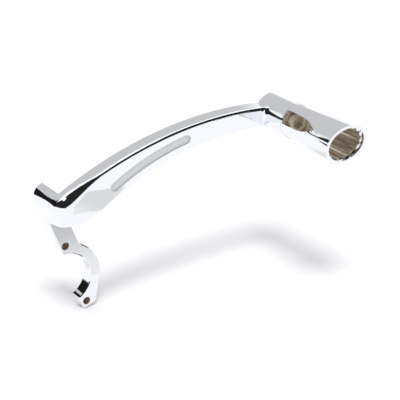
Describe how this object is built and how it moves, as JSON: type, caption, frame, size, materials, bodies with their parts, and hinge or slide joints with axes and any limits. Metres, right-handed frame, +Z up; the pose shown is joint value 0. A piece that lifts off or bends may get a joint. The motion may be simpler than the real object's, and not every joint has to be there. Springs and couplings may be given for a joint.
{
  "type": "motorcycle gear shift lever",
  "caption": "Arched foot lever with a hook plate that bolts round a pivot boss, and a hollow slash-cut toe peg held by a cap screw.",
  "frame": {"origin": "centre of the hook plate's round notch, on the plate's inboard face", "axes": "+X along the arm from the pivot towards the peg, +Z up, +Y inboard along the pivot axis; the peg points along -Y"},
  "size_m": [0.1944, 0.1138, 0.1382],
  "materials": {
    "chrome": "mirror polished chrome plate on aluminium",
    "peg_chrome": "mirror chrome outside, dull nickel inside the bore",
    "screw_steel": "zinc-nickel plated steel with a knurled head",
    "washer_steel": "plain zinc plate",
    "pin_steel": "ground hardened steel"
  },
  "bodies": {
    "lever": {"lever_arm": "chrome", "hook_plate": "chrome", "plate_dowel_pins": "pin_steel", "peg_cap_screw": "screw_steel", "peg_flat_washer": "washer_steel", "peg_lock_washer": "washer_steel"},
    "peg": {"peg_tube": "peg_chrome"}
  },
  "joints": [
    {"name": "peg_swivel", "type": "hinge", "parent": "lever", "child": "peg", "pos_m": [0.1615, -0.05315, 0.0963], "axis": [0, -1, 0], "continuous": true}
  ]
}
